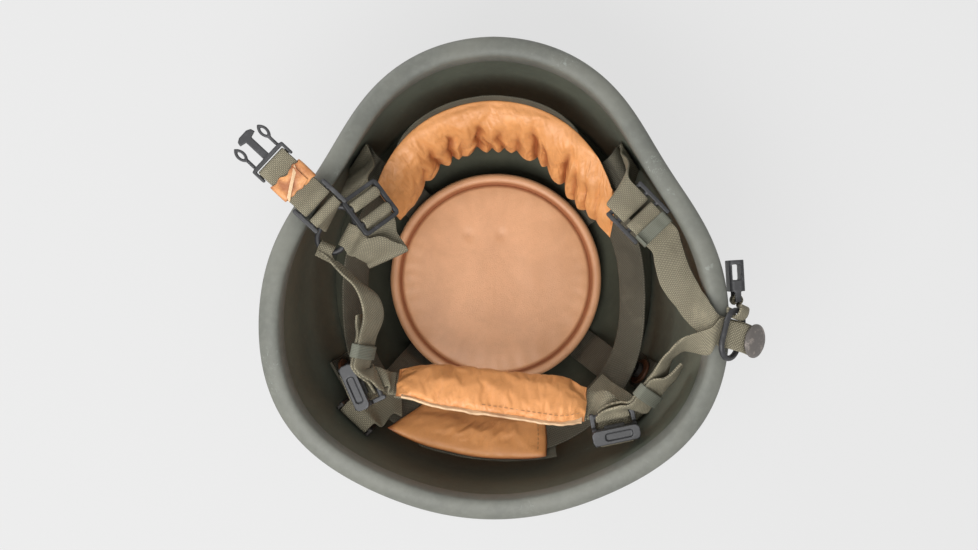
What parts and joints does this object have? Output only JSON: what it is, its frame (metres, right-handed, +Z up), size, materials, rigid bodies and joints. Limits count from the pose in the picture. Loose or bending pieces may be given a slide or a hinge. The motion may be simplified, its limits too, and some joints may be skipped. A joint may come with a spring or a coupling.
{
  "type": "ballistic helmet",
  "caption": "Olive laminate combat helmet lying crown down, with a leather padded suspension, webbing chin harness and a side release buckle standing open.",
  "frame": {"origin": "lowest point of the crown, in the middle of the small flat the helmet lies on", "axes": "+Z up out of the bowl, +Y to the brow, +X to the side with the receiving buckle half"},
  "size_m": [0.3031, 0.279, 0.1834],
  "materials": {
    "olive_shell": "matte",
    "olive_trim": "matte",
    "dark_liner": "matte",
    "blackened_metal": "satin",
    "brown_leather": "matte",
    "tan_leather": "satin",
    "stiff_board": "matte",
    "black_nylon": "satin",
    "olive_webbing": "matte"
  },
  "bodies": {
    "helmet": {"shell": "olive_shell", "edge_trim": "olive_trim", "impact_liner": "dark_liner", "fixing_screws": "blackened_metal", "fixing_nuts": "blackened_metal", "leather_washers": "brown_leather", "anchor_tabs": "olive_webbing", "rear_brackets": "blackened_metal", "rear_hanger_left": "olive_webbing", "rear_hanger_right": "olive_webbing", "headband": "olive_webbing", "hook_strip": "olive_webbing", "front_pad": "tan_leather", "rear_pad": "tan_leather", "rear_pad_backing": "olive_webbing", "crown_strap_a": "olive_webbing", "crown_strap_b": "olive_webbing", "crown_pad_base": "stiff_board", "crown_pad_cover": "tan_leather", "hanger_right": "olive_webbing", "slide_buckle": "black_nylon", "chin_strap_front_right": "olive_webbing", "junction_ring_right": "black_nylon", "stud": "blackened_metal", "receiver_loop": "olive_webbing", "chin_strap_rear_right": "olive_webbing", "cam_frame_right": "black_nylon", "nape_strap_right": "olive_webbing", "hanger_left": "olive_webbing", "frame_buckle": "black_nylon", "chin_strap_front_left": "olive_webbing", "junction_ring_left": "black_nylon", "ring_link": "olive_webbing", "ladder_slide": "black_nylon", "buckle_strap_inner": "olive_webbing", "chin_strap_rear_left": "olive_webbing", "cam_frame_left": "black_nylon", "nape_strap_left": "olive_webbing"},
    "buckle_strap": {"buckle_strap_outer": "olive_webbing", "leather_sleeve": "tan_leather"},
    "release_plug": {"release_plug": "black_nylon"},
    "prong_front": {"prong_front": "black_nylon"},
    "prong_back": {"prong_back": "black_nylon"},
    "release_receiver": {"release_receiver": "black_nylon"},
    "cam_lever_left": {"cam_lever_left": "black_nylon"},
    "cam_lever_right": {"cam_lever_right": "black_nylon"},
    "nape_pad": {"nape_strap": "olive_webbing", "nape_pad": "tan_leather"},
    "keeper_front_right": {"keeper_front_right": "olive_webbing"},
    "keeper_rear_right": {"keeper_rear_right": "olive_webbing"},
    "keeper_rear_left": {"keeper_rear_left": "olive_webbing"}
  },
  "joints": [
    {"name": "buckle_strap_lift", "type": "hinge", "parent": "helmet", "child": "buckle_strap", "pos_m": [-0.10663, 0.04613, 0.17075], "axis": [0.6822, 0.7312, 0], "range_deg": [0, 60]},
    {"name": "release_plug_swing", "type": "hinge", "parent": "buckle_strap", "child": "release_plug", "pos_m": [-0.12493, 0.06321, 0.1692], "axis": [0.6822, 0.7312, 0], "range_deg": [-30, 30]},
    {"name": "prong_back_squeeze", "type": "hinge", "parent": "release_plug", "child": "prong_back", "pos_m": [-0.12348, 0.07444, 0.16934], "axis": [0.0146, -0.0136, 0.9998], "range_deg": [0, 6], "stiffness_Nm_per_rad": 0.05},
    {"name": "prong_front_squeeze", "type": "hinge", "parent": "release_plug", "child": "prong_front", "pos_m": [-0.13603, 0.06098, 0.16934], "axis": [0.0146, -0.0136, 0.9998], "range_deg": [-6, 0], "stiffness_Nm_per_rad": 0.05},
    {"name": "receiver_swing", "type": "hinge", "parent": "helmet", "child": "release_receiver", "pos_m": [0.1396, -0.0144, 0.153], "axis": [0, 0, -1], "range_deg": [-5, 30]},
    {"name": "cam_lever_left_lift", "type": "hinge", "parent": "helmet", "child": "cam_lever_left", "pos_m": [-0.07705, -0.06343, 0.14762], "axis": [-0.4026, 0.9154, 0], "range_deg": [0, 40]},
    {"name": "cam_lever_right_lift", "type": "hinge", "parent": "helmet", "child": "cam_lever_right", "pos_m": [0.06987, -0.08851, 0.14912], "axis": [-0.9791, -0.2032, 0], "range_deg": [0, 40]},
    {"name": "nape_pad_swing", "type": "hinge", "parent": "helmet", "child": "nape_pad", "pos_m": [-0.0574, -0.0643, 0.1355], "axis": [0.9941, -0.1084, 0.0044], "range_deg": [-15, 20]},
    {"name": "keeper_front_right_slide", "type": "slide", "parent": "helmet", "child": "keeper_front_right", "axis": [0.6911, -0.7159, 0.0994], "range_m": [0, 0.004]},
    {"name": "keeper_rear_right_slide", "type": "slide", "parent": "helmet", "child": "keeper_rear_right", "axis": [0.6258, 0.7764, 0.074], "range_m": [0, 0.004]},
    {"name": "keeper_rear_left_slide", "type": "slide", "parent": "helmet", "child": "keeper_rear_left", "axis": [0.1982, 0.9802, 0.0001], "range_m": [0, 0.004]}
  ],
  "couplings": [
    {"joint": "prong_front_squeeze", "follows": "prong_back_squeeze", "ratio": -1}
  ]
}
